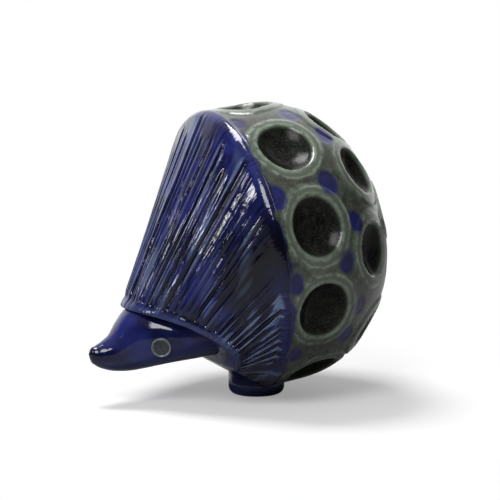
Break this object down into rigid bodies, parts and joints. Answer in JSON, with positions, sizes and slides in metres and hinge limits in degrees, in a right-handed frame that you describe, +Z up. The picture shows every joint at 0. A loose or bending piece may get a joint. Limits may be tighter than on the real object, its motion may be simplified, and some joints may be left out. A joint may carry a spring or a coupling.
{
  "type": "hedgehog figurine",
  "caption": "Glazed ceramic hedgehog figurine with a hollow dimpled round back, a combed quill mantle, a small pointed head with pressed disc eyes and a short round base.",
  "frame": {"origin": "on the floor under the middle of the figure's bounding box", "axes": "the nose points along -X, the figure's left side is -Y, +Z is up"},
  "size_m": [0.1202, 0.111, 0.1151],
  "materials": {
    "dome_glaze": "glossy mottled grey-green glaze with navy dots",
    "mantle_glaze": "glossy cobalt blue glaze that breaks pale on the ridges",
    "head_glaze": "glossy cobalt blue glaze",
    "base_glaze": "glossy dark blue glaze",
    "eye_glaze": "glossy grey glaze with a pale ring"
  },
  "bodies": {
    "root": {"back_shell": "dome_glaze", "quill_mantle": "mantle_glaze", "head": "head_glaze", "base": "base_glaze", "left_eye": "eye_glaze", "right_eye": "eye_glaze"}
  },
  "joints": []
}
